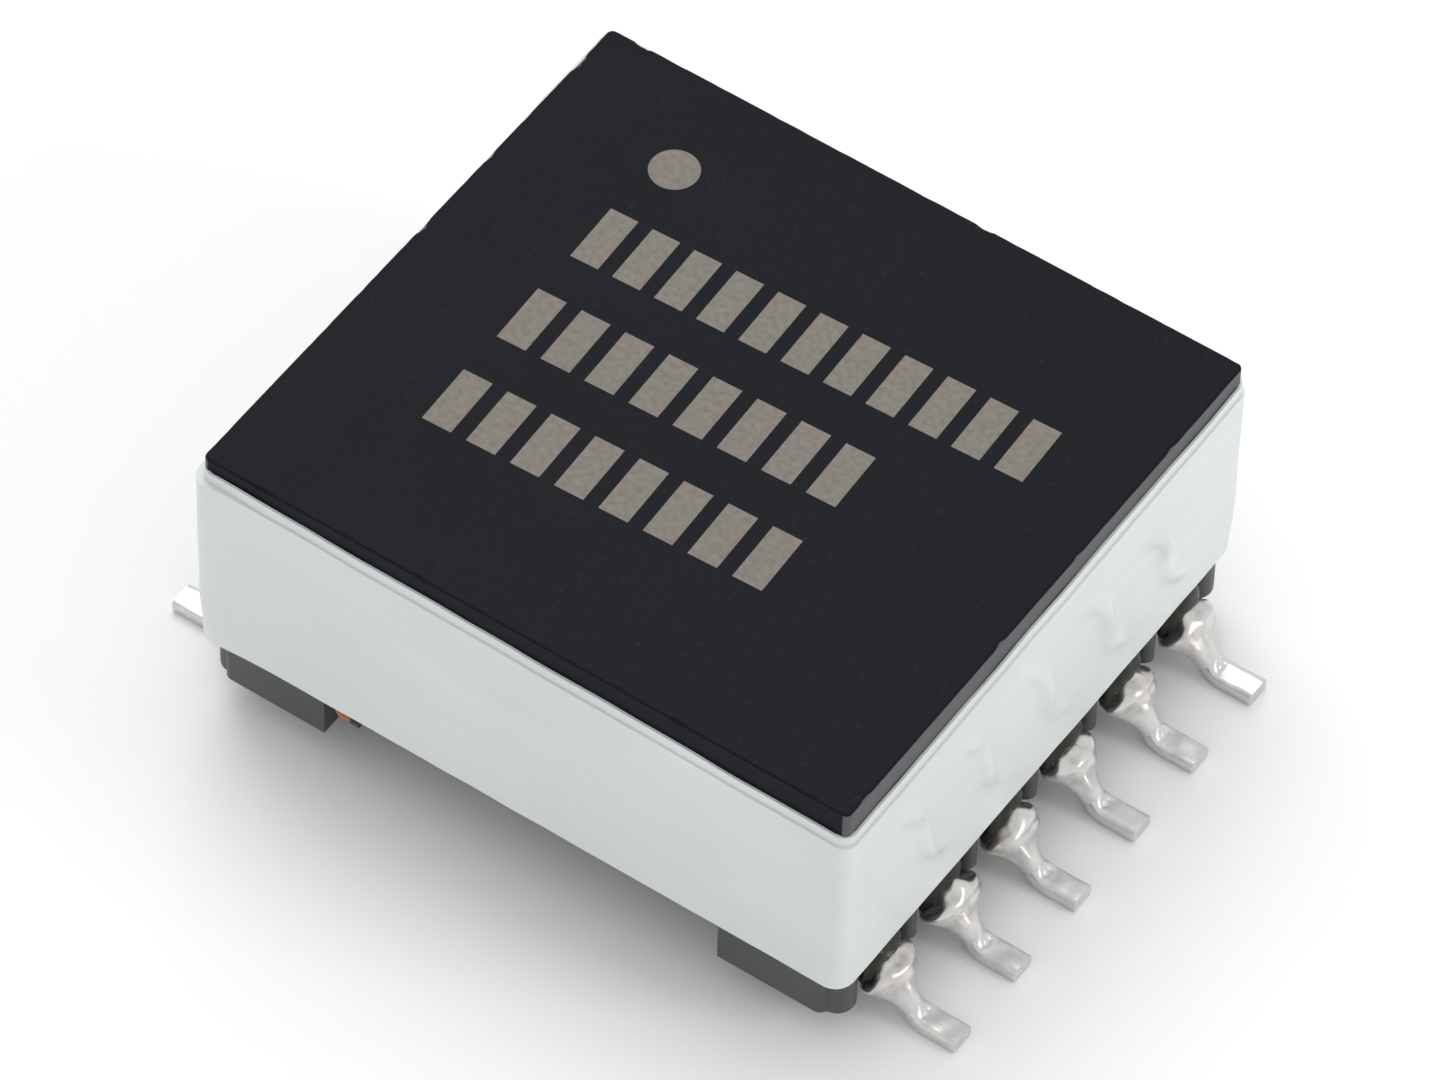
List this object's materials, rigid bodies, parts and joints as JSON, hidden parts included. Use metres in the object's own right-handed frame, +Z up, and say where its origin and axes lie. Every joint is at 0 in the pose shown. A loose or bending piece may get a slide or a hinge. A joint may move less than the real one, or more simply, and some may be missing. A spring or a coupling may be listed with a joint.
{
  "type": "surface-mount transformer",
  "caption": "Low surface-mount power transformer: black ferrite core, pale tape band round its sides, and two opposite rows of bent tinned terminals.",
  "frame": {"origin": "middle of the footprint, at the height of the undersides of the terminals' feet", "axes": "+Z up through the top of the core, X across the two rows of terminals, Y along them"},
  "size_m": [0.0268, 0.0198, 0.0106],
  "materials": {
    "ferrite": "ground manganese-zinc ferrite, near black",
    "bobbin": "moulded glass-filled thermoplastic, black",
    "adhesive": "cured epoxy film",
    "tape": "pale polyester adhesive tape",
    "layer_tape": "thin amber film tape",
    "enamelled_wire": "enamelled copper wire",
    "tinned_wire": "tin-plated copper wire, dull bright",
    "solder": "tin solder, uneven and bright"
  },
  "bodies": {
    "root": {"core_upper": "ferrite", "core_lower": "ferrite", "core_adhesive": "adhesive", "bobbin": "bobbin", "outer_tape": "tape", "wire_tail": "enamelled_wire", "winding_1": "enamelled_wire", "winding_2": "enamelled_wire", "winding_3": "enamelled_wire", "winding_4": "enamelled_wire", "winding_5": "enamelled_wire", "winding_6": "enamelled_wire", "layer_tape_1": "layer_tape", "layer_tape_2": "layer_tape", "layer_tape_3": "layer_tape", "layer_tape_4": "layer_tape", "layer_tape_5": "layer_tape", "layer_tape_6": "layer_tape", "terminal_1": "tinned_wire", "terminal_2": "tinned_wire", "terminal_3": "tinned_wire", "terminal_4": "tinned_wire", "terminal_5": "tinned_wire", "terminal_6": "tinned_wire", "terminal_7": "tinned_wire", "terminal_8": "tinned_wire", "terminal_9": "tinned_wire", "terminal_10": "tinned_wire", "terminal_11": "tinned_wire", "terminal_12": "tinned_wire", "solder_joint_1": "solder", "solder_joint_2": "solder", "solder_joint_3": "solder", "solder_joint_4": "solder", "solder_joint_5": "solder", "solder_joint_6": "solder", "solder_joint_7": "solder", "solder_joint_8": "solder", "solder_joint_9": "solder", "solder_joint_10": "solder", "solder_joint_11": "solder", "solder_joint_12": "solder"}
  },
  "joints": []
}
